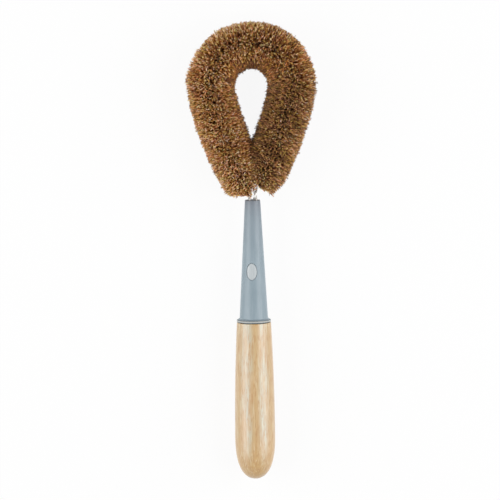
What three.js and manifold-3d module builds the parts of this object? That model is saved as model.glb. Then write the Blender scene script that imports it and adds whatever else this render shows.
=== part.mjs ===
// Dish brush with a looped coir head, a tapered ferrule and a turned wooden handle.
// Millimetres, +Z up. The brush lies on a table along Y with its head towards +Y.
// Each piece is drawn on the brush's own axis, the Y axis, with zero at the handle's shoulder.
// The last lines lay the whole brush down so that the handle and the head both touch the table.
import * as THREE from "three";
import { mergeVertices } from "three/addons/utils/BufferGeometryUtils.js";
import Module from "manifold-3d";

const wasm = await Module();
wasm.setup();

// Fits
const FIT_GAP = 0.3;
const STEM_GAP = 0.5;
const MOUTH_CLEARANCE = 0.4;
const SLOT_FOOT_CLEARANCE = 1;
const TWIST_CLEARANCE = 0.15;

// Wooden handle
const HANDLE_LENGTH = 90.3;
const SHOULDER_RADIUS = 9.7;
const BELLY_RADIUS = 11.45;
const BUTT_LENGTH = 24;
const BUTT_FULLNESS = 0.65;
const SHOULDER_BEVEL = 0.5;
const TENON_LENGTH = 38;

// Ferrule
const FERRULE_LENGTH = 69.4;
const FERRULE_BASE_RADIUS = 8.05;
const FERRULE_WALL = 1.15;
const FLANGE_RADIUS = 9.7;
const FLANGE_THICKNESS = 1.1;
const FLANGE_BEVEL = 0.2;
const GROOVE_WIDTH = 0.25;
const GROOVE_DEPTH = 0.2;
const LIP_RADIUS = 9.1;
const LIP_SLOPE = 0.75;

// Blank badge let into the front of the ferrule
const BADGE_HEIGHT = 29.5;
const BADGE_HALF_WIDTH = 2.9;
const BADGE_HALF_LENGTH = 4.6;
const BADGE_TURN = -0.14;
const BADGE_DEPTH = 0.35;
const BADGE_PROUD = 0.12;

// Plug inside the mouth
const PLUG_RECESS = 2.5;
const PLUG_LENGTH = 12;

// Twisted core
const WIRE_RADIUS = 0.6;
const TWIST_PITCH = 11;
const STEM_GRIP = 26;
const NECK_RISE = 5;
const NECK_BEND_RADIUS = 6;
const ARM_RADIUS = 180;
const CROWN_RADIUS = 23.4;
const CROWN_ANGLE = 12.7 * Math.PI / 180;

// Coir fill
const FILL_RADIUS = 13.7;
const LEFT_FILL_STOP = 1;
const RIGHT_FILL_STOP = 3;
const ROOT_WALL = 0.65;
const STRAND_RADIUS = 0.34;
const STRAND_ROW_PITCH = 2;
const STRAND_SWAY = 11 * Math.PI / 180;
const SPLIT_ANGLE = 10 * Math.PI / 180;

// Facets
const TURNED_SIDES = 32;
const WIRE_SIDES = 5;
const STEPS_PER_TWIST = 8;
const ROOT_SIDES = 8;

// Sizes that follow from those above
const twistRadius = WIRE_RADIUS + TWIST_CLEARANCE / 2;
const coreRadius = twistRadius + WIRE_RADIUS;
const stemOffset = coreRadius + STEM_GAP / 2;
const stemReach = stemOffset + coreRadius;
const mouthRadius = stemReach + MOUTH_CLEARANCE + FERRULE_WALL;
const bellyHeight = BUTT_LENGTH - HANDLE_LENGTH;
const ferruleFoot = FIT_GAP;
const ferruleMouth = ferruleFoot + FERRULE_LENGTH;
const grooveFoot = ferruleFoot + FLANGE_THICKNESS;
const lipFoot = grooveFoot + GROOVE_WIDTH;
const coneFoot = lipFoot + LIP_SLOPE;
const rootInner = coreRadius + FIT_GAP;
const rootOuter = rootInner + ROOT_WALL;

// Outer radius of the ferrule's cone at a height on the axis
function coneRadius(height) {
  const share = (height - coneFoot) / (ferruleMouth - coneFoot);
  return THREE.MathUtils.lerp(FERRULE_BASE_RADIUS, mouthRadius, share);
}

function boreRadius(height) {
  return coneRadius(height) - FERRULE_WALL;
}

// Conversions between drawn shapes and solids that can be cut and joined
function solidOf(geometry) {
  const bare = new THREE.BufferGeometry();
  bare.setAttribute("position", geometry.getAttribute("position"));
  bare.setIndex(geometry.getIndex());
  const merged = mergeVertices(bare, 1e-4);
  const mesh = new wasm.Mesh({
    numProp: 3,
    vertProperties: new Float32Array(merged.getAttribute("position").array),
    triVerts: new Uint32Array(merged.getIndex().array),
  });
  return new wasm.Manifold(mesh);
}

function geometryOf(solid) {
  const mesh = solid.getMesh();
  const geometry = new THREE.BufferGeometry();
  geometry.setAttribute("position", new THREE.BufferAttribute(new Float32Array(mesh.vertProperties), 3));
  geometry.setIndex(new THREE.BufferAttribute(new Uint32Array(mesh.triVerts), 1));
  return geometry;
}

function turned(profile, divisions) {
  return new THREE.LatheGeometry(profile.getPoints(divisions), TURNED_SIDES);
}

// A cone on the axis between two heights, given the radius at each
function taper(lowRadius, highRadius, low, high) {
  const geometry = new THREE.CylinderGeometry(highRadius, lowRadius, high - low, TURNED_SIDES);
  return geometry.translate(0, (low + high) / 2, 0);
}

// An upright slot for the pair of stems, with a clearance all round
function stemSlot(clearance, low, high) {
  const reach = coreRadius + clearance;
  const outline = new THREE.Shape();
  outline.absarc(stemOffset, 0, reach, -Math.PI / 2, Math.PI / 2, false);
  outline.absarc(-stemOffset, 0, reach, Math.PI / 2, Math.PI * 1.5, false);
  const options = { depth: high - low, bevelEnabled: false, curveSegments: 6 };
  const geometry = new THREE.ExtrudeGeometry(outline, options);
  return geometry.rotateX(-Math.PI / 2).translate(0, low, 0);
}

// Wooden handle: rounded butt, swelling grip, shoulder, tapered tenon and a slot for the stems
function handleGeometry() {
  const tenonTop = TENON_LENGTH;
  const profile = new THREE.Path();
  profile.moveTo(0, -HANDLE_LENGTH);
  profile.bezierCurveTo(
    BELLY_RADIUS * BUTT_FULLNESS, -HANDLE_LENGTH,
    BELLY_RADIUS, bellyHeight - BUTT_LENGTH * BUTT_FULLNESS,
    BELLY_RADIUS, bellyHeight);
  profile.quadraticCurveTo(BELLY_RADIUS, bellyHeight / 2, SHOULDER_RADIUS, -SHOULDER_BEVEL);
  profile.lineTo(SHOULDER_RADIUS - SHOULDER_BEVEL, 0);
  profile.lineTo(boreRadius(0) - FIT_GAP, 0);
  profile.lineTo(boreRadius(tenonTop) - FIT_GAP, tenonTop);
  profile.lineTo(0, tenonTop);
  const slotFoot = tenonTop - STEM_GRIP - SLOT_FOOT_CLEARANCE;
  const slot = stemSlot(FIT_GAP, slotFoot, tenonTop + 1);
  return geometryOf(solidOf(turned(profile, 8)).subtract(solidOf(slot)));
}

// Upright oval column through the front of the ferrule, for the badge and its pocket
function badgeColumn(clearance) {
  const outline = new THREE.Shape();
  const halfWidth = BADGE_HALF_WIDTH + clearance;
  const halfLength = BADGE_HALF_LENGTH + clearance;
  outline.absellipse(0, 0, halfWidth, halfLength, 0, Math.PI * 2, false, 0);
  const options = { depth: FLANGE_RADIUS, bevelEnabled: false, curveSegments: 10 };
  const geometry = new THREE.ExtrudeGeometry(outline, options);
  return solidOf(geometry.translate(0, BADGE_HEIGHT, 0).rotateY(BADGE_TURN));
}

// The ferrule's cone, grown or shrunk, over the heights the badge takes up
function badgeCone(growth) {
  const low = BADGE_HEIGHT - BADGE_HALF_LENGTH - 2;
  const high = BADGE_HEIGHT + BADGE_HALF_LENGTH + 2;
  return solidOf(taper(coneRadius(low) + growth, coneRadius(high) + growth, low, high));
}

// Ferrule: tapered sleeve, open at mouth and foot, with a pocket for the badge
// Its foot flares to a lip, and a groove parts the lip from the flange
function ferruleGeometry() {
  const profile = new THREE.Path();
  profile.moveTo(boreRadius(ferruleFoot), ferruleFoot);
  profile.lineTo(FLANGE_RADIUS - FLANGE_BEVEL, ferruleFoot);
  profile.lineTo(FLANGE_RADIUS, ferruleFoot + FLANGE_BEVEL);
  profile.lineTo(FLANGE_RADIUS, grooveFoot);
  profile.lineTo(LIP_RADIUS - GROOVE_DEPTH, grooveFoot);
  profile.lineTo(LIP_RADIUS - GROOVE_DEPTH, lipFoot);
  profile.lineTo(LIP_RADIUS, lipFoot);
  profile.lineTo(FERRULE_BASE_RADIUS, coneFoot);
  profile.lineTo(mouthRadius, ferruleMouth);
  profile.lineTo(boreRadius(ferruleMouth), ferruleMouth);
  profile.lineTo(boreRadius(ferruleFoot), ferruleFoot);
  const pocket = badgeColumn(FIT_GAP).subtract(badgeCone(-BADGE_DEPTH - FIT_GAP));
  return geometryOf(solidOf(turned(profile, 1)).subtract(pocket));
}

function badgeGeometry() {
  const plate = badgeColumn(0).intersect(badgeCone(BADGE_PROUD));
  return geometryOf(plate.subtract(badgeCone(-BADGE_DEPTH)));
}

// Plug that fills the bore below the mouth and holds the two stems apart
function plugGeometry() {
  const high = ferruleMouth - PLUG_RECESS;
  const low = high - PLUG_LENGTH;
  const body = taper(boreRadius(low) - FIT_GAP, boreRadius(high) - FIT_GAP, low, high);
  const slot = stemSlot(MOUTH_CLEARANCE / 2, low - 1, high + 1);
  return geometryOf(solidOf(body).subtract(solidOf(slot)));
}

// Centre line of the twisted core: up one stem, round the loop and down the other stem
// The neck bends, the slightly bowed arms and the round crown run smoothly into each other
const stemFoot = TENON_LENGTH - STEM_GRIP;
const bendStart = ferruleMouth + NECK_RISE;
const bendCentre = stemOffset + NECK_BEND_RADIUS;
const armCentre = (ARM_RADIUS - CROWN_RADIUS) * Math.cos(CROWN_ANGLE);
const neckAngle = Math.acos((armCentre + bendCentre) / (ARM_RADIUS + NECK_BEND_RADIUS));
const armHeight = bendStart + (ARM_RADIUS + NECK_BEND_RADIUS) * Math.sin(neckAngle);
const loopCentre = armHeight - (ARM_RADIUS - CROWN_RADIUS) * Math.sin(CROWN_ANGLE);
const crownTop = loopCentre + CROWN_RADIUS + FILL_RADIUS;

const corePath = new THREE.Path();
corePath.moveTo(-stemOffset, stemFoot);
corePath.lineTo(-stemOffset, bendStart);
corePath.absarc(-bendCentre, bendStart, NECK_BEND_RADIUS, 0, neckAngle, false);
corePath.absarc(armCentre, armHeight, ARM_RADIUS, Math.PI + neckAngle, Math.PI + CROWN_ANGLE, true);
corePath.absarc(0, loopCentre, CROWN_RADIUS, Math.PI + CROWN_ANGLE, -CROWN_ANGLE, true);
corePath.absarc(-armCentre, armHeight, ARM_RADIUS, -CROWN_ANGLE, -neckAngle, true);
corePath.absarc(bendCentre, bendStart, NECK_BEND_RADIUS, Math.PI - neckAngle, Math.PI, false);
corePath.lineTo(stemOffset, stemFoot);
const coreLength = corePath.getLength();

// Place on the core at a distance from its start, with the direction away from the loop
const up = new THREE.Vector3(0, 0, 1);
function coreAt(distance) {
  const share = THREE.MathUtils.clamp(distance / coreLength, 0, 1);
  const place = corePath.getPoint(share);
  const heading = corePath.getTangent(share);
  return {
    point: new THREE.Vector3(place.x, place.y, 0),
    outward: new THREE.Vector3(-heading.y, heading.x, 0),
  };
}

// One wire of the pair, winding round the centre line
class TwistedWire extends THREE.Curve {
  constructor(phase) {
    super();
    this.phase = phase;
    this.arcLengthDivisions = 2400;
  }

  getPoint(share, target = new THREE.Vector3()) {
    const distance = share * coreLength;
    const { point, outward } = coreAt(distance);
    const turn = this.phase + distance / TWIST_PITCH * Math.PI * 2;
    target.copy(point);
    target.addScaledVector(outward, twistRadius * Math.cos(turn));
    return target.addScaledVector(up, twistRadius * Math.sin(turn));
  }
}

function ring(Kind, radius, sides) {
  const points = [];
  for (let i = 0; i < sides; i++) {
    const angle = i / sides * Math.PI * 2;
    points.push(new THREE.Vector2(radius * Math.cos(angle), radius * Math.sin(angle)));
  }
  return new Kind(points);
}

function wireGeometry(phase) {
  const section = ring(THREE.Shape, WIRE_RADIUS, WIRE_SIDES);
  const steps = Math.round(coreLength / TWIST_PITCH * STEPS_PER_TWIST);
  const extrudePath = new TwistedWire(phase);
  return new THREE.ExtrudeGeometry(section, { steps, extrudePath, bevelEnabled: false });
}

// A stretch of the centre line, for the packed roots of the coir to follow
class CoreStretch extends THREE.Curve {
  constructor(start, end) {
    super();
    this.start = start;
    this.end = end;
  }

  getPoint(share, target = new THREE.Vector3()) {
    return target.copy(coreAt(THREE.MathUtils.lerp(this.start, this.end, share)).point);
  }
}

function rootSolid(start, end, steps) {
  const section = ring(THREE.Shape, rootOuter, ROOT_SIDES);
  section.holes.push(ring(THREE.Path, rootInner, ROOT_SIDES));
  const extrudePath = new CoreStretch(start, end);
  return solidOf(new THREE.ExtrudeGeometry(section, { steps, extrudePath, bevelEnabled: false }));
}

// One strand square to the core, cut short where the two arms meet on the middle plane
const strandStart = (rootInner + rootOuter) / 2;
function strandSolid(distance, angle) {
  const { point, outward } = coreAt(distance);
  const direction = outward.clone().multiplyScalar(Math.cos(angle)).addScaledVector(up, Math.sin(angle));
  const inwardShare = -direction.x * Math.sign(point.x);
  const room = Math.abs(point.x) - FIT_GAP - STRAND_RADIUS;
  const meets = point.y < loopCentre && inwardShare > 0;
  const reach = meets ? Math.min(FILL_RADIUS, room / inwardShare) : FILL_RADIUS;
  if (reach < rootOuter + STRAND_RADIUS) {
    return null;
  }
  const section = ring(THREE.Shape, STRAND_RADIUS, 3);
  const strand = new THREE.ExtrudeGeometry(section, { depth: reach - strandStart, bevelEnabled: false });
  strand.translate(0, 0, strandStart);
  strand.applyQuaternion(new THREE.Quaternion().setFromUnitVectors(up, direction));
  strand.translate(point.x, point.y, point.z);
  return solidOf(strand);
}

// One stretch of the fill: packed roots round the core with strands standing on their flats
// Rows of strands take every other flat by turns, and sway to one side and the other
function coirGeometry(start, end) {
  const low = start + FIT_GAP / 2;
  const high = end - FIT_GAP / 2;
  const steps = Math.round((high - low) / (2 * STRAND_ROW_PITCH));
  let coir = rootSolid(low, high, steps);
  for (let row = 0; row < 2 * steps; row++) {
    const distance = THREE.MathUtils.lerp(low, high, (row + 0.5) / (2 * steps));
    const sway = row % 4 < 2 ? STRAND_SWAY : -STRAND_SWAY;
    for (let flat = row % 2; flat < ROOT_SIDES; flat += 2) {
      const strand = strandSolid(distance, (flat + 0.5) / ROOT_SIDES * Math.PI * 2 + sway);
      if (strand) {
        coir = coir.add(strand);
      }
    }
  }
  return geometryOf(coir);
}

// Where the fill starts and stops along the core, and where it is parted into four stretches
const neckLength = bendStart - stemFoot + NECK_BEND_RADIUS * neckAngle;
const armLength = ARM_RADIUS * (neckAngle - CROWN_ANGLE);
const fillStart = neckLength + LEFT_FILL_STOP;
const fillEnd = coreLength - neckLength - RIGHT_FILL_STOP;
const splitOne = neckLength + armLength + CROWN_RADIUS * (CROWN_ANGLE + SPLIT_ANGLE);
const splitTwo = coreLength / 2;
const splitThree = coreLength - splitOne;

// Materials
const wood = new THREE.MeshStandardMaterial({ color: 0xdcc39c, roughness: 0.35, metalness: 0 });
const plastic = new THREE.MeshStandardMaterial({ color: 0x9ba9b2, roughness: 0.5, metalness: 0 });
const plate = new THREE.MeshStandardMaterial({ color: 0xb9c0c2, roughness: 0.35, metalness: 0 });
const steel = new THREE.MeshStandardMaterial({ color: 0xb4b3ad, roughness: 0.35, metalness: 1 });
const coir = new THREE.MeshStandardMaterial({ color: 0x7c5736, roughness: 0.85, metalness: 0 });
const bung = new THREE.MeshStandardMaterial({ color: 0x5d666c, roughness: 0.6, metalness: 0 });

// Assembly on the brush's own axis
const brush = new THREE.Group();
brush.name = "dish_brush";
function addPiece(name, geometry, material) {
  const mesh = new THREE.Mesh(geometry, material);
  mesh.name = name;
  brush.add(mesh);
}

addPiece("wooden_handle", handleGeometry(), wood);
addPiece("ferrule", ferruleGeometry(), plastic);
addPiece("badge", badgeGeometry(), plate);
addPiece("nose_plug", plugGeometry(), bung);
addPiece("core_wire_a", wireGeometry(0), steel);
addPiece("core_wire_b", wireGeometry(Math.PI), steel);
addPiece("coir_left_arm", coirGeometry(fillStart, splitOne), coir);
addPiece("coir_left_crown", coirGeometry(splitOne, splitTwo), coir);
addPiece("coir_right_crown", coirGeometry(splitTwo, splitThree), coir);
addPiece("coir_right_arm", coirGeometry(splitThree, fillEnd), coir);

// Lying on the table: the grip's belly and the neck end of the head touch it
const fillFoot = coreAt(fillStart).point.y;
const lean = Math.asin((FILL_RADIUS - BELLY_RADIUS) / (fillFoot - bellyHeight));
brush.rotation.x = lean;
brush.position.y = -(crownTop - HANDLE_LENGTH) / 2 * Math.cos(lean);
brush.position.z = BELLY_RADIUS * Math.cos(lean) - bellyHeight * Math.sin(lean);

const model = new THREE.Group();
model.add(brush);
export default model;
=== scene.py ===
"""Dish brush with a looped coir head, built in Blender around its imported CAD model.

Pieces are drawn in millimetres on the brush's own axis, Y, with zero at the handle's shoulder,
and are then laid down as the CAD model lies, in metres.
"""
import math
from collections import namedtuple

import bpy
import numpy as np
from mathutils import Matrix, Vector
from mathutils.kdtree import KDTree


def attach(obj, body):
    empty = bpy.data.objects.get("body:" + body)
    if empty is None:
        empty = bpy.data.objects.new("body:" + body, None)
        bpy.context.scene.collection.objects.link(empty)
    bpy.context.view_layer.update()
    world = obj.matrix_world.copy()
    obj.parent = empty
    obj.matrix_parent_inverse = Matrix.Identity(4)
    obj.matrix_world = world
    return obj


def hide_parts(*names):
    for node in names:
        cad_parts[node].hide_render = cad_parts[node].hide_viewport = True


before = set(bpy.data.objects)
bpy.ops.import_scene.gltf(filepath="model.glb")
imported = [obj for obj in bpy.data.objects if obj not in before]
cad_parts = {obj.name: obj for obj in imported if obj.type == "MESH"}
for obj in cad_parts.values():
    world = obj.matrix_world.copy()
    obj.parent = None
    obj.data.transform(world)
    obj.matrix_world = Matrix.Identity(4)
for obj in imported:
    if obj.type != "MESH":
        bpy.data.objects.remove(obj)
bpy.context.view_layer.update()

TAU = math.tau
MM = 0.001
ALONG = np.array((0.0, 1.0, 0.0))
UP = np.array((0.0, 0.0, 1.0))

# Sizes of the CAD model, in millimetres
FIT_GAP = 0.3
STEM_GAP = 0.5
SLOT_FOOT_CLEARANCE = 1.0
HANDLE_LENGTH = 90.3
SHOULDER_RADIUS = 9.7
BELLY_RADIUS = 11.45
BUTT_LENGTH = 24.0
BUTT_FULLNESS = 0.65
TENON_LENGTH = 38.0
FERRULE_LENGTH = 69.4
FERRULE_BASE_RADIUS = 8.05
FERRULE_WALL = 1.15
FLANGE_RADIUS = 9.7
FLANGE_THICKNESS = 1.1
GROOVE_WIDTH = 0.25
GROOVE_DEPTH = 0.2
LIP_RADIUS = 9.1
LIP_SLOPE = 0.75
MOUTH_CLEARANCE = 0.4
BADGE_HEIGHT = 29.5
BADGE_HALF_WIDTH = 2.9
BADGE_HALF_LENGTH = 4.6
BADGE_TURN = -0.14
BADGE_DEPTH = 0.35
BADGE_PROUD = 0.12
WIRE_RADIUS = 0.6
TWIST_CLEARANCE = 0.15
TWIST_PITCH = 11.0
STEM_GRIP = 26.0
NECK_RISE = 5.0
NECK_BEND_RADIUS = 6.0
ARM_RADIUS = 180.0
CROWN_RADIUS = 23.4
CROWN_ANGLE = math.radians(12.7)
FILL_RADIUS = 13.7
LEFT_FILL_STOP = 1.0
RIGHT_FILL_STOP = 3.0
SPLIT_ANGLE = math.radians(10.0)

# Sizes that follow from those above
TWIST_RADIUS = WIRE_RADIUS + TWIST_CLEARANCE / 2
CORE_RADIUS = TWIST_RADIUS + WIRE_RADIUS
STEM_OFFSET = CORE_RADIUS + STEM_GAP / 2
MOUTH_RADIUS = STEM_OFFSET + CORE_RADIUS + MOUTH_CLEARANCE + FERRULE_WALL
BELLY_HEIGHT = BUTT_LENGTH - HANDLE_LENGTH
FERRULE_MOUTH = FIT_GAP + FERRULE_LENGTH
GROOVE_FOOT = FIT_GAP + FLANGE_THICKNESS
LIP_FOOT = GROOVE_FOOT + GROOVE_WIDTH
CONE_FOOT = LIP_FOOT + LIP_SLOPE
STEM_FOOT = TENON_LENGTH - STEM_GRIP
BEND_START = FERRULE_MOUTH + NECK_RISE
BEND_CENTRE = STEM_OFFSET + NECK_BEND_RADIUS
ARM_CENTRE = (ARM_RADIUS - CROWN_RADIUS) * math.cos(CROWN_ANGLE)
NECK_ANGLE = math.acos((ARM_CENTRE + BEND_CENTRE) / (ARM_RADIUS + NECK_BEND_RADIUS))
ARM_HEIGHT = BEND_START + (ARM_RADIUS + NECK_BEND_RADIUS) * math.sin(NECK_ANGLE)
LOOP_CENTRE = ARM_HEIGHT - (ARM_RADIUS - CROWN_RADIUS) * math.sin(CROWN_ANGLE)
CROWN_TOP = LOOP_CENTRE + CROWN_RADIUS + FILL_RADIUS
STEM_LENGTH = BEND_START - STEM_FOOT
NECK_LENGTH = STEM_LENGTH + NECK_BEND_RADIUS * NECK_ANGLE
ARM_LENGTH = ARM_RADIUS * (NECK_ANGLE - CROWN_ANGLE)
CROWN_LENGTH = CROWN_RADIUS * (math.pi + 2 * CROWN_ANGLE)
CORE_LENGTH = 2 * (NECK_LENGTH + ARM_LENGTH) + CROWN_LENGTH
FILL_START = NECK_LENGTH + LEFT_FILL_STOP
FILL_END = CORE_LENGTH - NECK_LENGTH - RIGHT_FILL_STOP
SPLIT_ONE = NECK_LENGTH + ARM_LENGTH + CROWN_RADIUS * (CROWN_ANGLE + SPLIT_ANGLE)
SPLIT_TWO = CORE_LENGTH / 2
SPLIT_THREE = CORE_LENGTH - SPLIT_ONE

# Fineness of the meshes and rounding of the edges, in millimetres and degrees
TURN_SIDES = 96
OVAL_SIDES = 56
OVAL_RINGS = 7
WIRE_SIDES = 12
WIRE_STEPS_A_TURN = 26
EDGE_STEPS = 6
CREASE_STEPS = 5
BUTT_STEPS = 36
GRIP_STEPS = 40
SLOT_STEPS = 17
CONE_STEPS = 30
BORE_STEPS = 20
SHOULDER_EDGE = 0.3
TENON_CHAMFER_LENGTH = 0.6
TENON_CHAMFER_DEPTH = 0.5
TENON_CHAMFER_SWELL = 0.1
FLANGE_EDGE = 0.18
LIP_CREASE = 0.12
MOUTH_EDGE = 0.28
BADGE_BEVEL = 0.14
BADGE_BEVEL_STEP = 0.04
POCKET_CLEARANCE = 0.1
CUT_PAST = 1.0
SHARP_ANGLE = 40
FINE_SHARP_ANGLE = 50


def cone_radius(height):
    share = (height - CONE_FOOT) / (FERRULE_MOUTH - CONE_FOOT)
    return FERRULE_BASE_RADIUS + (MOUTH_RADIUS - FERRULE_BASE_RADIUS) * share


def bore_radius(height):
    return cone_radius(height) - FERRULE_WALL


def core_at(distance):
    """Points and headings of the core's centre line, (n, 3) each, at distances along it."""
    distance = np.atleast_1d(np.asarray(distance, dtype=float))
    mirrored = distance > CORE_LENGTH / 2
    along = np.where(mirrored, CORE_LENGTH - distance, distance)
    bend = (along - STEM_LENGTH) / NECK_BEND_RADIUS
    arm = NECK_ANGLE - (along - NECK_LENGTH) / ARM_RADIUS
    crown = CROWN_ANGLE - (along - NECK_LENGTH - ARM_LENGTH) / CROWN_RADIUS
    spans = [along < STEM_LENGTH, along < NECK_LENGTH, along < NECK_LENGTH + ARM_LENGTH]
    angle = np.select(spans, [np.zeros_like(along), bend, arm], crown)
    x = np.select(spans, [
        np.full_like(along, -STEM_OFFSET),
        -BEND_CENTRE + NECK_BEND_RADIUS * np.cos(angle),
        ARM_CENTRE - ARM_RADIUS * np.cos(angle),
    ], -CROWN_RADIUS * np.cos(angle))
    y = np.select(spans, [
        STEM_FOOT + along,
        BEND_START + NECK_BEND_RADIUS * np.sin(angle),
        ARM_HEIGHT - ARM_RADIUS * np.sin(angle),
    ], LOOP_CENTRE - CROWN_RADIUS * np.sin(angle))
    x = np.where(mirrored, -x, x)
    rise = np.where(mirrored, -np.cos(angle), np.cos(angle))
    flat = np.zeros_like(along)
    return np.stack((x, y, flat), axis=1), np.stack((-np.sin(angle), rise, flat), axis=1)


def outward_of(heading):
    """Directions in the loop's plane, square to the core's headings and away from the loop's middle."""
    return np.stack((-heading[:, 1], heading[:, 0], np.zeros(len(heading))), axis=1)


FILL_FOOT = core_at(FILL_START)[0][0, 1]
LEAN = math.asin((FILL_RADIUS - BELLY_RADIUS) / (FILL_FOOT - BELLY_HEIGHT))
LAY_Y = -(CROWN_TOP - HANDLE_LENGTH) / 2 * math.cos(LEAN)
LAY_Z = BELLY_RADIUS * math.cos(LEAN) - BELLY_HEIGHT * math.sin(LEAN)


def lay(points):
    """Brush millimetres to frame metres."""
    points = np.asarray(points, dtype=float).reshape(-1, 3)
    x, y, z = points.T
    cos, sin = math.cos(LEAN), math.sin(LEAN)
    return np.stack((x, y * cos - z * sin + LAY_Y, y * sin + z * cos + LAY_Z), axis=1) * MM


# Meshes

def mesh_of(name, points, *face_sets):
    """A mesh from brush points and arrays of faces, one array for each number of corners."""
    mesh = bpy.data.meshes.new(name)
    sizes = np.concatenate([np.full(len(faces), faces.shape[1]) for faces in face_sets])
    corners = np.concatenate([faces.ravel() for faces in face_sets]).astype(np.int32)
    starts = np.concatenate(([0], np.cumsum(sizes)[:-1])).astype(np.int32)
    mesh.vertices.add(len(points))
    mesh.vertices.foreach_set("co", lay(points).astype(np.float32).ravel())
    mesh.loops.add(len(corners))
    mesh.loops.foreach_set("vertex_index", corners)
    mesh.polygons.add(len(sizes))
    mesh.polygons.foreach_set("loop_start", starts)
    mesh.update(calc_edges=True)
    mesh.validate()
    return mesh


def object_of(mesh):
    piece = bpy.data.objects.new(mesh.name, mesh)
    bpy.context.scene.collection.objects.link(piece)
    return piece


def soften(mesh, degrees):
    mesh.shade_smooth()
    mesh.set_sharp_from_angle(angle=math.radians(degrees))


def finish_piece(piece, material, slot, *nodes):
    piece.data.materials.clear()
    piece.data.materials.append(material)
    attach(piece, "root")
    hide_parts(*nodes)


def grid_faces(rows, columns, wrap_rows=False):
    """Quads over rows of points whose columns close on themselves."""
    row = np.arange(rows if wrap_rows else rows - 1)[:, None]
    column = np.arange(columns)[None, :]
    after = (column + 1) % columns
    above = (row + 1) % rows
    quads = np.stack((row * columns + column, row * columns + after,
                      above * columns + after, above * columns + column), axis=-1)
    return quads.reshape(-1, 4)


def end_fans(rows, columns):
    """Triangles that close a grid's first and last row, each onto a point that follows the grid."""
    column = np.arange(columns)
    after = (column + 1) % columns
    last = (rows - 1) * columns
    foot = rows * columns
    return np.vstack((
        np.stack((np.full(columns, foot), after, column), axis=1),
        np.stack((np.full(columns, foot + 1), last + column, last + after), axis=1)))


def turn_profile(name, profile, closed):
    """A turned solid from (radius, height) points that run up the outside.

    A closed profile goes on down the bore to its start. Any other starts and ends on the axis.
    """
    profile = np.asarray(profile, dtype=float)
    rows = profile if closed else profile[1:-1]
    turn = np.arange(TURN_SIDES) / TURN_SIDES * TAU
    ring = np.stack((np.sin(turn), np.zeros(TURN_SIDES), np.cos(turn)), axis=1)
    points = rows[:, 0, None, None] * ring + rows[:, 1, None, None] * ALONG
    points = points.reshape(-1, 3)
    quads = grid_faces(len(rows), TURN_SIDES, wrap_rows=closed)
    if closed:
        return mesh_of(name, points, quads)
    points = np.vstack((points, profile[0, 1] * ALONG, profile[-1, 1] * ALONG))
    return mesh_of(name, points, quads, end_fans(len(rows), TURN_SIDES))


def bezier(*controls, count):
    """Points along a Bezier curve of any order."""
    share = np.linspace(0, 1, count)[:, None]
    order = len(controls) - 1
    return sum(math.comb(order, i) * share ** i * (1 - share) ** (order - i) * np.asarray(control)
               for i, control in enumerate(controls))


def arc(centre, radius, start, stop, count):
    turn = np.radians(np.linspace(start, stop, count))
    return np.asarray(centre) + radius * np.stack((np.cos(turn), np.sin(turn)), axis=1)


def cut(piece, cutter_mesh):
    """Takes a closed cutter out of a piece, for good."""
    cutter = object_of(cutter_mesh)
    modifier = piece.modifiers.new("cut", "BOOLEAN")
    modifier.operation = "DIFFERENCE"
    modifier.solver = "EXACT"
    modifier.object = cutter
    graph = bpy.context.evaluated_depsgraph_get()
    shaped = bpy.data.meshes.new_from_object(piece.evaluated_get(graph))
    piece.modifiers.remove(modifier)
    whole = piece.data
    name = whole.name
    piece.data = shaped
    bpy.data.meshes.remove(whole)
    shaped.name = name
    bpy.data.objects.remove(cutter)
    bpy.data.meshes.remove(cutter_mesh)


def column_mesh(name, outline, low, high):
    """An upright column on the axis from an outline of (x, z) points."""
    count = len(outline)
    flat = np.asarray(outline)
    levels = [np.stack((flat[:, 0], np.full(count, height), flat[:, 1]), axis=1)
              for height in (low, high)]
    foot = np.arange(count)[::-1][None, :]
    top = np.arange(count, 2 * count)[None, :]
    return mesh_of(name, np.vstack(levels), grid_faces(2, count), np.vstack((foot, top)))


def oval_patch(name, half_width, half_length, levels):
    """A curved oval plate that follows the ferrule's cone.

    levels are (growth over the cone, inset of the outline) from the inside out: the first is the
    back, the last is the front face, and those between are the edge.
    """
    turn = np.arange(OVAL_SIDES) / OVAL_SIDES * TAU
    middle = cone_radius(BADGE_HEIGHT)
    axis = np.array((math.sin(BADGE_TURN), 0, math.cos(BADGE_TURN)))

    def place(share, growth, inset):
        across = (half_width - inset) * share * np.cos(turn)
        height = BADGE_HEIGHT + (half_length - inset) * share * np.sin(turn)
        radius = cone_radius(height) + growth
        angle = BADGE_TURN + across / middle
        return np.stack((radius * np.sin(angle), height, radius * np.cos(angle)), axis=1)

    shares = np.arange(1, OVAL_RINGS + 1) / OVAL_RINGS
    rows = [place(share, *levels[0]) for share in shares]
    rows += [place(1.0, *level) for level in levels[1:-1]]
    rows += [place(share, *levels[-1]) for share in shares[::-1]]
    middles = [axis * (middle + growth) + BADGE_HEIGHT * ALONG
               for growth, _ in (levels[0], levels[-1])]
    return mesh_of(name, np.vstack(rows + middles), grid_faces(len(rows), OVAL_SIDES),
                   end_fans(len(rows), OVAL_SIDES))


# Materials

def linear(red, green, blue):
    """Shader colour for a colour given as 0 to 255 on a screen."""
    parts = [part / 255 for part in (red, green, blue)]
    return tuple(part / 12.92 if part <= 0.04045 else ((part + 0.055) / 1.055) ** 2.4
                 for part in parts)


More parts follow.
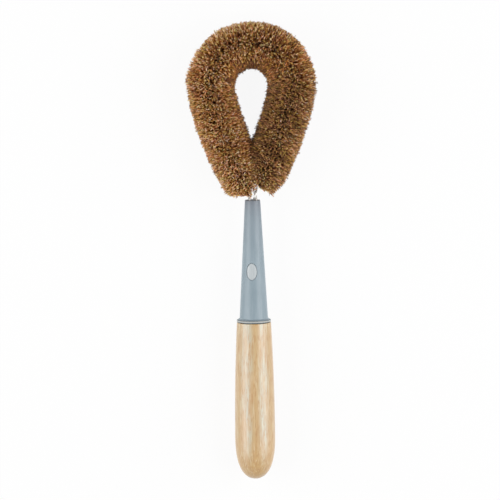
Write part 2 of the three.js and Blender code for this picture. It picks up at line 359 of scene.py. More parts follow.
class Shader:
    """A new node material with short calls for adding and joining nodes."""

    MIX_FACTOR, MIX_FIRST, MIX_SECOND, MIX_COLOUR = 0, 6, 7, 2

    def __init__(self, name):
        self.material = bpy.data.materials.new(name)
        self.material.use_nodes = True
        self.tree = self.material.node_tree
        self.surface = self.tree.nodes["Principled BSDF"]

    def node(self, kind, settings=(), **inputs):
        node = self.tree.nodes.new(kind)
        for name, value in dict(settings).items():
            setattr(node, name, value)
        for name, value in inputs.items():
            self.plug(node, name.replace("_", " "), value)
        return node

    def plug(self, node, socket, value):
        if isinstance(value, bpy.types.NodeSocket):
            self.tree.links.new(value, node.inputs[socket])
        else:
            node.inputs[socket].default_value = value

    def set(self, **inputs):
        for name, value in inputs.items():
            self.plug(self.surface, name.replace("_", " "), value)

    def place(self, scale=(1, 1, 1), location=(0, 0, 0), turn=0.0):
        """Object coordinates, stretched and turned about X."""
        source = self.node("ShaderNodeTexCoord").outputs["Object"]
        mapping = self.node("ShaderNodeMapping", Vector=source, Scale=scale, Location=location,
                            Rotation=(turn, 0, 0))
        return mapping.outputs["Vector"]

    def height(self, top):
        """Height along the brush, 0 at the handle's shoulder and 1 at the given height in mm."""
        scale = 1 / (top * MM)
        foot = Matrix.Rotation(LEAN, 3, "X") @ Vector(lay([(0, 0, 0)])[0])
        place = self.place((scale, scale, scale), -foot * scale, LEAN)
        return self.node("ShaderNodeSeparateXYZ", Vector=place).outputs["Y"]

    def noise(self, vector, scale, detail=3.0, roughness=0.5):
        return self.node("ShaderNodeTexNoise", Vector=vector, Scale=scale, Detail=detail,
                         Roughness=roughness).outputs["Fac"]

    def ramp(self, factor, *stops):
        node = self.node("ShaderNodeValToRGB", Fac=factor)
        elements = node.color_ramp.elements
        while len(elements) < len(stops):
            elements.new(0.5)
        for element, (position, colour) in zip(elements, stops):
            element.position = position
            element.color = (*colour, 1.0)
        return node.outputs["Color"]

    def grey(self, factor, *stops):
        return self.ramp(factor, *[(position, (value, value, value)) for position, value in stops])

    def mix(self, factor, first, second, blend="MIX"):
        node = self.node("ShaderNodeMix", {"data_type": "RGBA", "blend_type": blend})
        sockets = ((self.MIX_FACTOR, factor), (self.MIX_FIRST, first), (self.MIX_SECOND, second))
        for socket, value in sockets:
            self.plug(node, socket, (*value, 1.0) if isinstance(value, tuple) else value)
        return node.outputs[self.MIX_COLOUR]

    def paint(self, colour, *layers):
        """Colours over a first one, each as strong as a grey ramp of its pattern says."""
        for pattern, stops, over in layers:
            colour = self.mix(self.grey(pattern, *stops), colour, over)
        return colour

    def bump(self, height, strength, distance):
        node = self.node("ShaderNodeBump", Height=height, Strength=strength, Distance=distance)
        self.set(Normal=node.outputs["Normal"])


BUTT_FADE = 36.0  # per metre: the butt's warmer colour, part end grain and part painted shade, is gone 28 mm up the handle


def wood_material():
    """Pale lacquered wood: broad bands, pale where the lamps' highlights fall and warm between them,
    part figure and part painted highlight; a warmer butt, part end grain and part painted shade;
    patches, dark and pale streaks, and flecks.
    """
    wood = Shader("lacquered_wood")
    # Broad bands across the handle, pale where the lamps' highlights fall and warmer down the middle:
    # part wood figure, part painted highlight
    bands = wood.node("ShaderNodeTexWave", {"wave_type": "BANDS", "bands_direction": "X"},
                      Vector=wood.place((1, 0.10, 1), (0.0005, 0, 0)), Scale=31.0,
                      Distortion=2.2, Detail=2.0, Detail_Scale=2.0).outputs["Fac"]
    streaks = wood.noise(wood.place((1, 0.06, 1)), scale=1050.0, detail=4.0, roughness=0.62)
    patches = wood.noise(wood.place((1, 0.20, 1), (0.05, 0, 0)), scale=330.0)
    flecks = wood.noise(wood.place((1, 0.13, 1), (0.3, 0, 0)), scale=1500.0, detail=2.0)
    butt_end = lay([(0, -HANDLE_LENGTH, 0)])[0, 1]
    from_butt = wood.place((1, -BUTT_FADE, 1), (0, 1 + BUTT_FADE * butt_end, 0))
    butt = wood.node("ShaderNodeSeparateXYZ", Vector=from_butt).outputs["Y"]
    colour = wood.paint(
        linear(204, 175, 125),
        (bands, ((0.05, 0.0), (0.90, 1.0)), linear(191, 189, 168)),
        # Warmer, darker butt: part end grain, part painted shade on the end that turns away from the
        # lamps
        (butt, ((0.0, 0.0), (0.7, 0.84)), linear(203, 159, 84)),
        (patches, ((0.38, 0.0), (0.66, 0.8)), linear(202, 163, 109)),
        (streaks, ((0.42, 0.0), (0.68, 0.65)), linear(186, 146, 92)),
        (streaks, ((0.30, 0.65), (0.46, 0.0)), linear(222, 207, 172)),
        (flecks, ((0.53, 0.0), (0.66, 0.70)), linear(180, 132, 78)))
    wood.set(Base_Color=colour, Roughness=wood.grey(streaks, (0.3, 0.40), (0.7, 0.52)),
             Coat_Weight=1.0, Coat_Roughness=0.33, Coat_IOR=1.70)
    wood.bump(streaks, strength=0.06, distance=0.0002)
    return wood.material


def ferrule_material():
    """Satin grey-blue, with painted shade darkening it towards the mouth under the head, a paler flange
    as a painted highlight, and lines of painted shade above and below the flange.
    """
    shell = Shader("satin_ferrule")
    clouds = shell.noise(shell.place((1, 0.4, 1)), scale=260.0)
    streaks = shell.noise(shell.place((1, 0.03, 1)), scale=1400.0)
    peel = shell.noise(shell.place(), scale=2600.0, detail=2.0)
    height = shell.height(FERRULE_MOUTH)

    def at_heights(*stops):
        """Stops from (height in mm, value) pairs."""
        return [(stop / FERRULE_MOUTH, value) for stop, value in stops]

    # Painted highlight: the flange's rim is painted paler
    flange = at_heights((0.50, 0.0), (0.60, 1.0), (1.05, 1.0), (1.15, 0.0))
    # Painted shade: dark lines in the groove above the flange and along its foot at the wood
    painted_seam_shade = at_heights((0.45, 0.8), (0.55, 0.0), (1.10, 0.0), (1.20, 0.5), (1.65, 0.5), (1.80, 0.0))
    colour = shell.paint(
        linear(135, 152, 161),
        (clouds, ((0.3, 0.0), (0.7, 1.0)), linear(144, 160, 169)),
        (streaks, ((0.45, 0.0), (0.75, 0.5)), linear(158, 171, 180)),
        # Painted shade: darker towards the mouth, where the head shades the ferrule
        (height, ((0.5, 0.0), (0.86, 0.4), (1.0, 1.0)), linear(123, 131, 141)),
        (height, flange, linear(190, 188, 180)),
        (height, painted_seam_shade, linear(98, 105, 110)))
    shell.set(Base_Color=colour, Roughness=shell.grey(peel, (0.3, 0.36), (0.7, 0.44)),
              Specular_IOR_Level=0.6)
    shell.bump(peel, strength=0.10, distance=0.0001)
    return shell.material


def badge_material():
    plate = Shader("blank_badge")
    grain = plate.noise(plate.place((1, 0.05, 1)), scale=2600.0)
    colour = plate.paint(linear(183, 190, 193),
                         (grain, ((0.3, 0.0), (0.7, 1.0)), linear(198, 204, 206)))
    plate.set(Base_Color=colour, Roughness=plate.grey(grain, (0.3, 0.28), (0.7, 0.42)))
    plate.bump(grain, strength=0.05, distance=0.0001)
    return plate.material


def wire_material():
    steel = Shader("galvanised_wire")
    spangle = steel.noise(steel.place(), scale=900.0)
    colour = steel.paint(linear(236, 236, 232),
                         (spangle, ((0.35, 0.0), (0.65, 1.0)), linear(247, 247, 245)))
    steel.set(Base_Color=colour, Metallic=0.4,
              Roughness=steel.grey(spangle, (0.3, 0.16), (0.7, 0.30)))
    return steel.material


def plug_material():
    plug = Shader("nose_plug_plastic")
    clouds = plug.noise(plug.place(), scale=700.0)
    colour = plug.paint(linear(84, 92, 97),
                        (clouds, ((0.3, 0.0), (0.7, 1.0)), linear(98, 106, 111)))
    plug.set(Base_Color=colour, Roughness=plug.grey(clouds, (0.3, 0.5), (0.7, 0.65)))
    return plug.material


# A fibre has its own tint in one of three hues, rosy, plain and golden. Its map holds a band of
# tints for each hue, side by side, and runs up from the root to the tip.
BAKE_MAP = "OFBake"
COIR_HUES = ((1.09, 0.95, 1.17), (1.0, 1.0, 0.97), (0.92, 1.045, 0.69))
COIR_TINTS = (
    (0.00, linear(96, 64, 39)),
    (0.18, linear(138, 92, 57)),
    (0.34, linear(162, 115, 65)),
    (0.50, linear(192, 126, 69)),
    (0.64, linear(206, 150, 82)),
    (0.78, linear(228, 164, 100)),
    (0.90, linear(240, 194, 132)),
    (1.00, linear(252, 227, 186)))
FIBRE_BEND = 0.82
# Painted shade: fibres darken towards their roots, deep in the fill
PAINTED_ROOT_SHADE = ((0.0, (0.88, 0.60, 0.34)), (FIBRE_BEND, (0.80, 0.57, 0.35)), (0.90, (1.0, 1.0, 1.0)))
PLAIN_TONE = (1.0, 1.02, 1.06)
WARM_TONE = (1.04, 1.0, 0.94)
GREY_TONE = (0.95, 1.07, 1.25)


def coir_material(name, tone):
    coir = Shader(name)
    place = coir.node("ShaderNodeUVMap", {"uv_map": BAKE_MAP}).outputs["UV"]
    split = coir.node("ShaderNodeSeparateXYZ", Vector=place)
    bands = [((band + spot) / len(COIR_HUES), tuple(np.clip(np.multiply(colour, tone) * hue, 0, 1)))
             for band, hue in enumerate(COIR_HUES) for spot, colour in COIR_TINTS]
    tint = coir.ramp(split.outputs["X"], *bands)
    # Tints times painted shade that deepens towards the roots
    shade = coir.ramp(split.outputs["Y"], *PAINTED_ROOT_SHADE)
    coir.set(Base_Color=coir.mix(1.0, tint, shade, "MULTIPLY"), Roughness=0.45,
             Specular_IOR_Level=0.25)
    return coir.material


# Handle, ferrule, badge and wires

def make_handle():
    butt = bezier((0, -HANDLE_LENGTH), (BELLY_RADIUS * BUTT_FULLNESS, -HANDLE_LENGTH),
                  (BELLY_RADIUS, BELLY_HEIGHT - BUTT_LENGTH * BUTT_FULLNESS),
                  (BELLY_RADIUS, BELLY_HEIGHT), count=BUTT_STEPS)
    grip = bezier((BELLY_RADIUS, BELLY_HEIGHT), (BELLY_RADIUS, BELLY_HEIGHT / 2),
                  (SHOULDER_RADIUS, -SHOULDER_EDGE), count=GRIP_STEPS)
    shoulder = arc((SHOULDER_RADIUS - SHOULDER_EDGE, -SHOULDER_EDGE), SHOULDER_EDGE, 0, 90, EDGE_STEPS)
    foot = bore_radius(0) - FIT_GAP
    tip = bore_radius(TENON_LENGTH) - FIT_GAP
    tenon = [(foot, 0), (tip + TENON_CHAMFER_SWELL, TENON_LENGTH - TENON_CHAMFER_LENGTH),
             (tip - TENON_CHAMFER_DEPTH, TENON_LENGTH), (0, TENON_LENGTH)]
    profile = np.vstack((butt[:-1], grip[:-1], shoulder, tenon))
    handle = object_of(turn_profile("handle_turned", profile, closed=False))
    reach = CORE_RADIUS + FIT_GAP
    slot = np.vstack((arc((STEM_OFFSET, 0), reach, 90, -90, SLOT_STEPS),
                      arc((-STEM_OFFSET, 0), reach, 270, 90, SLOT_STEPS)))
    slot_foot = TENON_LENGTH - STEM_GRIP - SLOT_FOOT_CLEARANCE
    cut(handle, column_mesh("stem_slot", slot, slot_foot, TENON_LENGTH + CUT_PAST))
    soften(handle.data, SHARP_ANGLE)
    return handle


def make_ferrule():
    flange_edge = FLANGE_RADIUS - FLANGE_EDGE
    flange = np.vstack((arc((flange_edge, FIT_GAP + FLANGE_EDGE), FLANGE_EDGE, -90, 0, EDGE_STEPS),
                        arc((flange_edge, GROOVE_FOOT - FLANGE_EDGE), FLANGE_EDGE, 0, 90, EDGE_STEPS)))
    floor = LIP_RADIUS - GROOVE_DEPTH
    groove = [(floor, GROOVE_FOOT), (floor, LIP_FOOT)]
    slope = (LIP_RADIUS - FERRULE_BASE_RADIUS) / LIP_SLOPE
    lip_edge = bezier((LIP_RADIUS - LIP_CREASE / 2, LIP_FOOT), (LIP_RADIUS, LIP_FOOT),
                      (LIP_RADIUS - LIP_CREASE * slope, LIP_FOOT + LIP_CREASE), count=CREASE_STEPS)
    cone_start = CONE_FOOT + LIP_CREASE
    cone_crease = bezier((FERRULE_BASE_RADIUS + LIP_CREASE * slope, CONE_FOOT - LIP_CREASE),
                         (FERRULE_BASE_RADIUS, CONE_FOOT),
                         (cone_radius(cone_start), cone_start), count=CREASE_STEPS)
    rim = FERRULE_MOUTH - MOUTH_EDGE
    mouth_edge = arc((MOUTH_RADIUS - MOUTH_EDGE, rim), MOUTH_EDGE, 0, 90, EDGE_STEPS)
    bore_edge = arc((bore_radius(FERRULE_MOUTH) + MOUTH_EDGE, rim), MOUTH_EDGE, 90, 180, EDGE_STEPS)
    heights = np.linspace(cone_start, rim, CONE_STEPS)[1:-1]
    cone = np.stack((cone_radius(heights), heights), axis=1)
    depths = np.linspace(rim, FIT_GAP, BORE_STEPS)[1:]
    bore = np.stack((bore_radius(depths), depths), axis=1)
    profile = np.vstack((flange, groove, lip_edge, cone_crease, cone, mouth_edge, bore_edge, bore))
    ferrule = object_of(turn_profile("ferrule_shell", profile, closed=True))
    pocket = oval_patch("badge_pocket", BADGE_HALF_WIDTH + FIT_GAP, BADGE_HALF_LENGTH + FIT_GAP,
                        [(-BADGE_DEPTH - POCKET_CLEARANCE, 0), (CUT_PAST, 0)])
    cut(ferrule, pocket)
    soften(ferrule.data, SHARP_ANGLE)
    return ferrule


def make_badge():
    levels = [(-BADGE_DEPTH, 0.0), (BADGE_PROUD - BADGE_BEVEL, 0.0),
              (BADGE_PROUD - BADGE_BEVEL_STEP, BADGE_BEVEL_STEP), (BADGE_PROUD, BADGE_BEVEL)]
    badge = object_of(oval_patch("badge_plate", BADGE_HALF_WIDTH, BADGE_HALF_LENGTH, levels))
    soften(badge.data, FINE_SHARP_ANGLE)
    return badge


def make_wire(name, phase):
    steps = round(CORE_LENGTH / TWIST_PITCH * WIRE_STEPS_A_TURN)
    distance = np.linspace(0, CORE_LENGTH, steps + 1)
    point, heading = core_at(distance)
    turn = (phase + distance / TWIST_PITCH * TAU)[:, None]
    spoke = outward_of(heading) * np.cos(turn) + UP * np.sin(turn)
    centre = point + TWIST_RADIUS * spoke
    tangent = np.gradient(centre, axis=0)
    tangent /= np.linalg.norm(tangent, axis=1, keepdims=True)
    spoke -= tangent * np.sum(spoke * tangent, axis=1, keepdims=True)
    spoke /= np.linalg.norm(spoke, axis=1, keepdims=True)
    across = np.cross(tangent, spoke)
    angle = np.arange(WIRE_SIDES) / WIRE_SIDES * TAU
    section = (spoke[:, None, :] * np.cos(angle)[:, None] + across[:, None, :] * np.sin(angle)[:, None])
    rings = centre[:, None, :] + WIRE_RADIUS * section
    column = np.arange(WIRE_SIDES)
    caps = np.vstack((column[::-1], steps * WIRE_SIDES + column))
    wire = object_of(mesh_of(name, rings.reshape(-1, 3), grid_faces(steps + 1, WIRE_SIDES), caps))
    soften(wire.data, FINE_SHARP_ANGLE)
    return wire


# Coir, in millimetres, radians and shares

# A dense inner growth hides the core, and longer, thicker and paler fibres stand out of it
Growth = namedtuple("Growth", "thickness lean swing curl pale")
OUTER = Growth(np.array((0.12, 0.17, 0.205)), lean=0.3, swing=0.025, curl=0.65, pale=0.54)
INNER = Growth(np.array((0.12, 0.155, 0.19)), lean=0.6, swing=0.05, curl=1.25, pale=0.44)
OUTER_SHARE = 0.38
OUTER_REACH_SCATTER = 0.04
INNER_REACH = (0.86, 0.97)

# Places of the fibres
FILL_SEED = 10
FIBRES_PER_MM = 192
GOLDEN_TURN = math.pi * (3 - math.sqrt(5))
ANGLE_SCATTER = 0.03
SPLIT_BLEND = 4.0
STEM_END_LIMIT = NECK_LENGTH + 0.5
STEM_END_SWEEP = (0.51, 0.68)

# A fibre is a tube of three sides from its root over a bend to its tip
FIBRE_SIDES = 3
FIBRE_PLACES = np.array((0.0, FIBRE_BEND, 1.0))
FIBRE_ROOT = 1.15
THICKNESS_SCATTER = 0.2
TABLE_GAP = 0.05

# Slow random waves over the fill
FIELD_WAVES = 6
FIELD_TURNS = 4
FIELD_PACE = (0.3, 1.0)

# Tufts, which a fibre's tip leans to
TUFT_SIZE = 5
TUFT_RISE = 0.32
TUFT_PULL = 0.12
TUFT_LEAN_LIMIT = 1.2
TUFT_SWING_LIMIT = 0.12

# Reach of the fibres from the core
REACH_WAVES = 0.2
REACH_WAVE_LENGTH = 12.0
REACH_SHIFT = -0.15
INWARD_GROWTH = 0.07
CROWN_TRIM = 0.06
STRAY_SHARE = 0.03
STRAY_REACH = (0.1, 0.8)
HEIGHT_SLACK = 0.3

# Fibres that bend away from the middle plane where the two arms meet
MEETING_SPREAD = 7.0
MEETING_BIAS = 1.2
MEETING_SCATTER = 0.25
MEETING_PUSH = 0.92
MEETING_LIFT = 0.45

# Loose ends at the two stems: place along the core and span, lean there, share cut off there, height
# that the fibres are trimmed to and fall of that height from the middle outwards
LooseEnd = namedtuple("LooseEnd", "place span lean cut trim fall")
LEFT_END = LooseEnd(STEM_LENGTH - 2.4, span=15.0, lean=0.0, cut=0.05, trim=72.5, fall=-0.13)
RIGHT_END = LooseEnd(FILL_END + 2.0, span=7.0, lean=1.0, cut=0.22, trim=72.8, fall=0.0)
LOOSE_STEADYING = 0.6
LOOSE_LEAN = (0.5, 1.2)
INWARD_CUT = 0.3
TRIM_STRENGTH = 0.85
TRIM_SCATTER = 0.35
HANGING_SHARE = 0.14
HANGING_START = 5.0
HANGING_LENGTH = (0.5, 2.4)

# Tints, as places on the scale of COIR_TINTS
TINT_MIDDLE = 0.615
TINT_STEP = 0.255
TINT_SCATTER = 0.13
TINT_WAVES = 0.08
TINT_WAVE_LENGTH = 9.0
TINT_MARGIN = 0.02
TINT_WIDTH = 0.004
CAP_RISE = 0.03
# Painted shade on fibres that face into the loop, deeper at the crown
INWARD_SHADE = 0.30
INWARD_CROWN_SHADE = 1.2
# Painted shade on the right arm's ridge
RIGHT_SHADE = 0.07
# Painted shade on the arms' outer rims and painted light on the crown's rim
RIM_START = 0.62
RIM_SHADE = 0.12
RIM_CROWN_LIGHT = 2.8
# Painted light: paler fibres at the loose ends
LOOSE_PAINTED_LIGHT = 0.11
HUE_STEP = 0.45
HUE_WAVES = 0.45
HUE_WAVE_LENGTH = 7.0

Stretch = namedtuple("Stretch", "side seed material tint contrast end")
Fibres = namedtuple("Fibres", "root angle outer point heading crown loose")


def fill_roots():
    """Roots along the core and angles round it of all fibres, spread evenly, and each one's stretch.

    Neighbouring stretches mix a little where they meet, so that no seam shows.
    """
    rng = np.random.default_rng(FILL_SEED)
    length = RIGHT_END.place - LEFT_END.place
    count = round(length * FIBRES_PER_MM)
    number = np.arange(count)
    root = LEFT_END.place + (number + rng.random(count)) / count * length
    angle = (number * GOLDEN_TURN + rng.normal(0, ANGLE_SCATTER, count)) % TAU - math.pi
    outer = (number * math.sqrt(2)) % 1 < OUTER_SHARE
    mixed = root + rng.normal(0, SPLIT_BLEND, count)
    return root, angle, outer, np.digitize(mixed, (SPLIT_ONE, SPLIT_TWO, SPLIT_THREE))


def smooth_field(rng, angle, distance, wave_length):
    """A slow random rise and fall over the fill, about -1 to 1."""
    total = np.zeros_like(angle)
    for _ in range(FIELD_WAVES):
        turns = rng.integers(0, FIELD_TURNS)
        pace = rng.uniform(*FIELD_PACE) / wave_length
        total += np.sin(turns * angle + TAU * pace * distance + rng.uniform(0, TAU))
    return total / (FIELD_WAVES / 2)


def tuft_pulls(rng, root, angle):
    """How far each fibre's tip leans along and round the core to its nearest tuft's middle, and by
    how much that tuft stands out."""
    count = len(root)
    tufts = count // TUFT_SIZE
    tuft_root = root.min() + rng.random(tufts) * np.ptp(root)
    tuft_angle = rng.random(tufts) * TAU
    middle = FILL_RADIUS / 2
    tree = KDTree(tufts)
    for i, (place, turn) in enumerate(zip(tuft_root, tuft_angle)):
        tree.insert((place, middle * math.cos(turn), middle * math.sin(turn)), i)
    tree.balance()
    nearest = np.array([tree.find((place, middle * math.cos(turn), middle * math.sin(turn)))[1]
                        for place, turn in zip(root, angle)])
    pull = rng.uniform(0.0, TUFT_PULL, count)
    swing = (tuft_angle[nearest] - angle + math.pi) % TAU - math.pi
    rise = rng.normal(0, TUFT_RISE, tufts)[nearest]
    return (np.clip(pull * (tuft_root[nearest] - root), -TUFT_LEAN_LIMIT, TUFT_LEAN_LIMIT),
            np.clip(pull * swing, -TUFT_SWING_LIMIT, TUFT_SWING_LIMIT), rise)


def plant_fibres(root, angle, outer, end):
    """A stretch's fibres, with their places on the core.

    crown is 1 at the top of the loop and falls to 0 down its sides, faster on the right. loose is 1
    at a loose end and falls to 0 over its span.
    """
    sweep = np.interp(root, (STEM_LENGTH, STEM_END_LIMIT), STEM_END_SWEEP)
    angle = angle * np.where(root < STEM_END_LIMIT, sweep, 1.0)
    point, heading = core_at(root)
    crown = np.clip((point[:, 1] - LOOP_CENTRE) / CROWN_RADIUS, 0, 1)
    crown *= 1 - np.clip(point[:, 0] / CROWN_RADIUS, 0, 1)
    loose = np.zeros(len(root))
    if end:
        loose = np.clip(1 - np.abs(root - end.place) / end.span, 0, 1)
    return Fibres(root, angle, outer, point, heading, crown, loose)


def grow_fibres(rng, fibres, end):
    """How far each fibre leans along the core, swings round it and reaches out from it."""
    root, angle, outer, loose = fibres.root, fibres.angle, fibres.outer, fibres.loose
    count = len(root)
    outside = np.maximum(0, np.cos(angle))
    inside = np.maximum(0, -np.cos(angle))
    lean, swing, rise = tuft_pulls(rng, root, angle)
    lean += rng.normal(0, 1, count) * np.where(outer, OUTER.lean, INNER.lean)
    swing += rng.normal(0, 1, count) * np.where(outer, OUTER.swing, INNER.swing)
    full = 1 - np.abs(rng.normal(0, OUTER_REACH_SCATTER, count))
    reach = FILL_RADIUS * np.where(outer, full, rng.uniform(*INNER_REACH, count))
    reach += REACH_WAVES * smooth_field(rng, angle, root, REACH_WAVE_LENGTH) + REACH_SHIFT + rise
    reach *= 1 + INWARD_GROWTH * inside ** 2
    reach *= 1 - CROWN_TRIM * fibres.crown * outside
    reach += np.where(rng.random(count) < STRAY_SHARE, rng.uniform(*STRAY_REACH, count), 0)
    if end:
        lean *= 1 - LOOSE_STEADYING * loose
        lean += end.lean * loose * rng.uniform(*LOOSE_LEAN, count) * (1 - outside)
        reach *= 1 - end.cut * loose * (INWARD_CUT + (1 - INWARD_CUT) * outside)
    return lean, swing, reach


def fibre_lines(rng, fibres, lean, swing, reach):
    """Each fibre's centre line from root to tip, with a curl of its own at the tip."""
    count = len(lean)
    heading = fibres.heading
    share = FIBRE_PLACES[None, :, None]
    turned = fibres.angle[:, None, None] + swing[:, None, None] * share
    direction = outward_of(heading)[:, None, :] * np.cos(turned) + UP * np.sin(turned)
    radius = FIBRE_ROOT + (reach[:, None, None] - FIBRE_ROOT) * share
    centre = (fibres.point[:, None, :] + direction * radius
              + heading[:, None, :] * lean[:, None, None] * share)
    around = np.cross(heading, direction[:, -1, :])
    curl_turn = rng.random(count) * TAU
    curl = np.abs(rng.normal(0, 1, count)) * np.where(fibres.outer, OUTER.curl, INNER.curl)
    centre[:, -1, :] += (heading * (curl * np.cos(curl_turn))[:, None]
                         + around * (curl * np.sin(curl_turn))[:, None])
    return centre


def part_arms(rng, fibres, centre):
    """Bends fibres away from the middle plane where the two arms meet."""
    count = len(centre)
    side = np.sign(fibres.point[:, 0])[:, None]
    limit = -MEETING_SPREAD * rng.random(count) ** MEETING_BIAS
    over = np.maximum(0, limit[:, None] - centre[:, :, 0] * side)
    over[centre[:, :, 1] > LOOP_CENTRE] = 0
    upward = np.sin(fibres.angle) + rng.normal(0, MEETING_SCATTER, count)
    centre[:, :, 0] += over * MEETING_PUSH * side
    centre[:, :, 2] += over * MEETING_LIFT * np.sign(upward)[:, None]
    centre[:, :, 2] = np.clip(centre[:, :, 2], -FILL_RADIUS, FILL_RADIUS + HEIGHT_SLACK)


def trim_end(rng, fibres, centre, end):
    """Trims a loose end, and lets some fibres hang out of it."""
    count = len(centre)
    scatter = rng.normal(0, TRIM_SCATTER, count)[:, None]
    trim = end.trim - end.fall * np.abs(centre[:, :, 0]) + scatter
    centre[:, :, 1] += TRIM_STRENGTH * np.maximum(0, trim - centre[:, :, 1])
    hanging = rng.random(count) < HANGING_SHARE * fibres.loose
    hanging &= np.abs(centre[:, -1, 0]) > HANGING_START
    centre[:, -1, 1] -= hanging * rng.uniform(*HANGING_LENGTH, count)


def fibre_walls(rng, fibres, centre):
    """Points of the tubes round the centre lines. What is pressed against the table lies on it."""
    count = len(centre)
    heading = fibres.heading[:, None, :]
    tangent = np.gradient(centre, axis=1)
    tangent /= np.linalg.norm(tangent, axis=2, keepdims=True)
    first = heading - tangent * np.sum(heading * tangent, axis=2, keepdims=True)
    first /= np.linalg.norm(first, axis=2, keepdims=True)
    second = np.cross(tangent, first)
    thick = np.where(fibres.outer[:, None], OUTER.thickness, INNER.thickness)
    thick *= np.exp(rng.normal(0, THICKNESS_SCATTER, count))[:, None]
    corner = rng.random(count)[:, None] * TAU + np.arange(FIBRE_SIDES) * TAU / FIBRE_SIDES
    section = (first[:, :, None, :] * np.cos(corner)[:, None, :, None]
               + second[:, :, None, :] * np.sin(corner)[:, None, :, None])
    points = (centre[:, :, None, :] + thick[:, :, None, None] * section).reshape(-1, 3)
    low = lay(points)[:, 2] / MM
    points[:, 2] += np.maximum(0, TABLE_GAP - low)
    return points


def fibre_tints(rng, fibres, stretch):
    """Each fibre's place across the coir's map: the band of its hue, and its tint in that band, with
    painted shade and painted light worked into the tint.
    """
    root, angle, crown = fibres.root, fibres.angle, fibres.crown
    count = len(root)
    pale = rng.random(count) < np.where(fibres.outer, OUTER.pale, INNER.pale)
    spread = np.where(pale, TINT_STEP, -TINT_STEP) + rng.normal(0, TINT_SCATTER, count)
    tint = TINT_MIDDLE + stretch.tint + stretch.contrast * spread
    tint += TINT_WAVES * smooth_field(rng, angle, root, TINT_WAVE_LENGTH)
    # Painted shade on fibres that face into the loop
    tint -= INWARD_SHADE * (1 + INWARD_CROWN_SHADE * crown) * np.maximum(0, -np.cos(angle)) ** 3
    # Painted shade on the right arm's ridge
    tint -= RIGHT_SHADE * np.sin(angle) ** 2 * np.clip(fibres.point[:, 0] / CROWN_RADIUS, 0, 1)
    # Painted shade on the arms' outer rims, painted light on the crown's rim
    rim = np.clip((np.cos(angle) - RIM_START) / (1 - RIM_START), 0, 1)
    tint += RIM_SHADE * rim * (RIM_CROWN_LIGHT * crown - 1)
    # Painted light on the loose ends
    tint += LOOSE_PAINTED_LIGHT * fibres.loose
    tint = np.clip(tint, TINT_MARGIN, 1 - TINT_MARGIN)
    hue = rng.normal(0, 1, count) + HUE_WAVES * smooth_field(rng, angle, root, HUE_WAVE_LENGTH)
    return (tint + np.digitize(hue, (-HUE_STEP, HUE_STEP))) / len(COIR_HUES)


def fibre_mesh(name, points, tint):
    """Closed tubes, with each fibre's tint and the place along it in the map that its colour reads."""
    places = len(FIBRE_PLACES)
    last = FIBRE_SIDES * (places - 1)
    one_quads = grid_faces(places, FIBRE_SIDES)
    one_caps = np.array(((2, 1, 0), (last, last + 1, last + 2)))
    offset = (np.arange(len(tint)) * FIBRE_SIDES * places)[:, None, None]
    quads = (one_quads + offset).reshape(-1, 4)
    caps = (one_caps + offset).reshape(-1, 3)
    mesh = mesh_of(name, points, quads, caps)
    quad_u = np.tile((-TINT_WIDTH, TINT_WIDTH, TINT_WIDTH, -TINT_WIDTH), (len(one_quads), 1))
    quad_v = FIBRE_PLACES[one_quads // FIBRE_SIDES]
    cap_u = np.tile((-TINT_WIDTH, TINT_WIDTH, 0), (len(one_caps), 1))
    cap_v = np.array(((0.0, 0.0, CAP_RISE), (1.0, 1.0, 1 - CAP_RISE)))
    corners = []
    for u, v in ((quad_u, quad_v), (cap_u, cap_v)):
        corners.append(np.stack(np.broadcast_arrays(tint[:, None, None] + u, v), axis=-1).ravel())
    layer = mesh.uv_layers.new(name=BAKE_MAP)
    layer.data.foreach_set("uv", np.concatenate(corners).astype(np.float32))
    mesh.shade_smooth()
    return mesh


def make_coir(stretch, root, angle, outer):
    """Fibres standing all round a stretch of the core."""
    rng = np.random.default_rng(stretch.seed)
    fibres = plant_fibres(root, angle, outer, stretch.end)
    centre = fibre_lines(rng, fibres, *grow_fibres(rng, fibres, stretch.end))
    part_arms(rng, fibres, centre)
    if stretch.end:
        trim_end(rng, fibres, centre, stretch.end)
    points = fibre_walls(rng, fibres, centre)
    return object_of(fibre_mesh("fibres_" + stretch.side, points, fibre_tints(rng, fibres, stretch)))


# Assembly

finish_piece(make_handle(), wood_material(), "wood", "wooden_handle")
finish_piece(make_ferrule(), ferrule_material(), "ferrule_plastic", "ferrule")
finish_piece(make_badge(), badge_material(), "badge_plate", "badge")
steel = wire_material()
finish_piece(make_wire("twisted_wire_a", 0.0), steel, "wire", "core_wire_a")
finish_piece(make_wire("twisted_wire_b", math.pi), steel, "wire", "core_wire_b")

coir = coir_material("coir_fibre", PLAIN_TONE)
warm_coir = coir_material("coir_fibre_warm", WARM_TONE)
grey_coir = coir_material("coir_fibre_grey", GREY_TONE)
stretches = (
    Stretch("left_arm", 11, coir, tint=0.03, contrast=1.02, end=LEFT_END),
    Stretch("left_crown", 12, warm_coir, tint=-0.025, contrast=1.27, end=None),
    Stretch("right_crown", 13, warm_coir, tint=-0.07, contrast=1.27, end=None),
    Stretch("right_arm", 14, grey_coir, tint=-0.13, contrast=1.03, end=RIGHT_END))
roots, angles, outers, stretch_numbers = fill_roots()
for number, stretch in enumerate(stretches):
    own = stretch_numbers == number
    coir_piece = make_coir(stretch, roots[own], angles[own], outers[own])
    finish_piece(coir_piece, stretch.material, "coir", "coir_" + stretch.side)

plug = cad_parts["nose_plug"]
plug.data.materials.clear()
plug.data.materials.append(plug_material())


# Stage, lights and camera, in metres

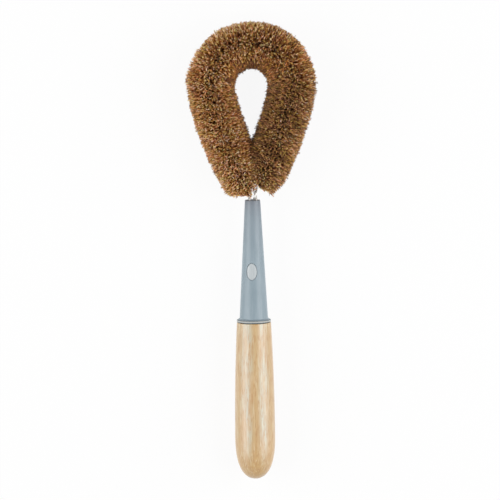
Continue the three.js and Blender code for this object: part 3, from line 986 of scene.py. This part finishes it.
WHITE = (1.0, 1.0, 1.0, 1.0)
PAPER = (0.93, 0.93, 0.93, 1.0)
FLOOR_HALF = 0.85
FLOOR_GLOW = 0.92
WORLD_LEVEL = 0.22
LAMP_AIM = Vector((0, 0.02, 0))
LAMP_LENGTH = 1.1
VIEW_TILT = math.radians(6.5)
VIEW_ROLL = math.radians(0.65)
VIEW_DISTANCE = 1.6
VIEW_WIDTH = 0.2835
VIEW_TARGET = (-1.75, 41.2, 0.0)  # in brush millimetres
SENSOR_WIDTH = 36.0
VIEW_END = 20.0


def seen_rays(tree):
    """1 for rays that show the white backdrop: camera, glossy and transmission rays."""
    rays = tree.nodes.new("ShaderNodeLightPath")
    seen = rays.outputs["Is Camera Ray"]
    for kind in ("Is Glossy Ray", "Is Transmission Ray"):
        either = tree.nodes.new("ShaderNodeMath")
        either.operation = "MAXIMUM"
        tree.links.new(seen, either.inputs[0])
        tree.links.new(rays.outputs[kind], either.inputs[1])
        seen = either.outputs[0]
    return seen


def mix_shaders(tree, factor, first, second, output):
    """Joins two shader nodes by a factor into the surface of an output node."""
    blend = tree.nodes.new("ShaderNodeMixShader")
    tree.links.new(factor, blend.inputs[0])
    tree.links.new(first.outputs[0], blend.inputs[1])
    tree.links.new(second.outputs[0], blend.inputs[2])
    tree.links.new(blend.outputs[0], output.inputs["Surface"])


def make_floor():
    """White paper that keeps the object's shadow."""
    mesh = bpy.data.meshes.new("floor")
    corners = [(x * FLOOR_HALF, y * FLOOR_HALF, 0) for x, y in ((-1, -1), (1, -1), (1, 1), (-1, 1))]
    mesh.from_pydata(corners, [], [(0, 1, 2, 3)])
    floor = object_of(mesh)
    paper = Shader("white_paper")
    paper.set(Base_Color=PAPER, Roughness=0.9, Specular_IOR_Level=0.1)
    share = paper.node("ShaderNodeMath", {"operation": "MULTIPLY"})
    paper.plug(share, 0, seen_rays(paper.tree))
    paper.plug(share, 1, FLOOR_GLOW)
    glow = paper.node("ShaderNodeEmission", Color=WHITE, Strength=1.0)
    output = next(node for node in paper.tree.nodes if node.type == "OUTPUT_MATERIAL")
    mix_shaders(paper.tree, share.outputs[0], paper.surface, glow, output)
    mesh.materials.append(paper.material)


def make_world():
    """A weak even light all round, which is seen as white."""
    world = bpy.data.worlds.new("studio")
    world.use_nodes = True
    tree = world.node_tree
    tree.nodes.clear()
    lights = []
    for strength in (WORLD_LEVEL, 1.0):
        light = tree.nodes.new("ShaderNodeBackground")
        light.inputs["Color"].default_value = WHITE
        light.inputs["Strength"].default_value = strength
        lights.append(light)
    mix_shaders(tree, seen_rays(tree), *lights, tree.nodes.new("ShaderNodeOutputWorld"))
    bpy.context.scene.world = world


def stand(name, data, across, along, back, place):
    """A lamp or camera at a place, looking against its back axis."""
    thing = bpy.data.objects.new(name, data)
    axes = Matrix((across, along, back)).transposed()
    thing.matrix_world = Matrix.Translation(place) @ axes.to_4x4()
    bpy.context.scene.collection.objects.link(thing)
    return thing


def make_softbox(name, place, width, radiance):
    light = bpy.data.lights.new(name, "AREA")
    light.shape = "RECTANGLE"
    light.size = width
    light.size_y = LAMP_LENGTH
    light.energy = radiance * math.pi * width * LAMP_LENGTH
    back = (Vector(place) - LAMP_AIM).normalized()
    across = Vector(ALONG).cross(back).normalized()
    stand(name, light, across, back.cross(across), back, Vector(place))


def make_camera():
    data = bpy.data.cameras.new("camera")
    data.sensor_width = SENSOR_WIDTH
    data.lens = SENSOR_WIDTH * VIEW_DISTANCE / VIEW_WIDTH
    data.clip_end = VIEW_END
    tilt = VIEW_TILT - LEAN
    back = Vector((0, math.sin(tilt), math.cos(tilt)))
    upright = Vector((0, math.cos(tilt), -math.sin(tilt)))
    level = Vector((1, 0, 0))
    across = level * math.cos(VIEW_ROLL) - upright * math.sin(VIEW_ROLL)
    along = upright * math.cos(VIEW_ROLL) + level * math.sin(VIEW_ROLL)
    place = Vector(lay([VIEW_TARGET])[0]) + back * VIEW_DISTANCE
    bpy.context.scene.camera = stand("camera", data, across, along, back, place)


make_floor()
make_world()
make_softbox("softbox_left", (-0.69, 0.02, 0.46), width=0.66, radiance=2.65)
make_softbox("softbox_right", (0.65, 0.02, 0.515), width=0.66, radiance=2.65)
make_softbox("softbox_edge", (0.85, 0.02, 0.12), width=0.30, radiance=0.7)
make_camera()
bpy.context.scene.view_settings.view_transform = "Standard"
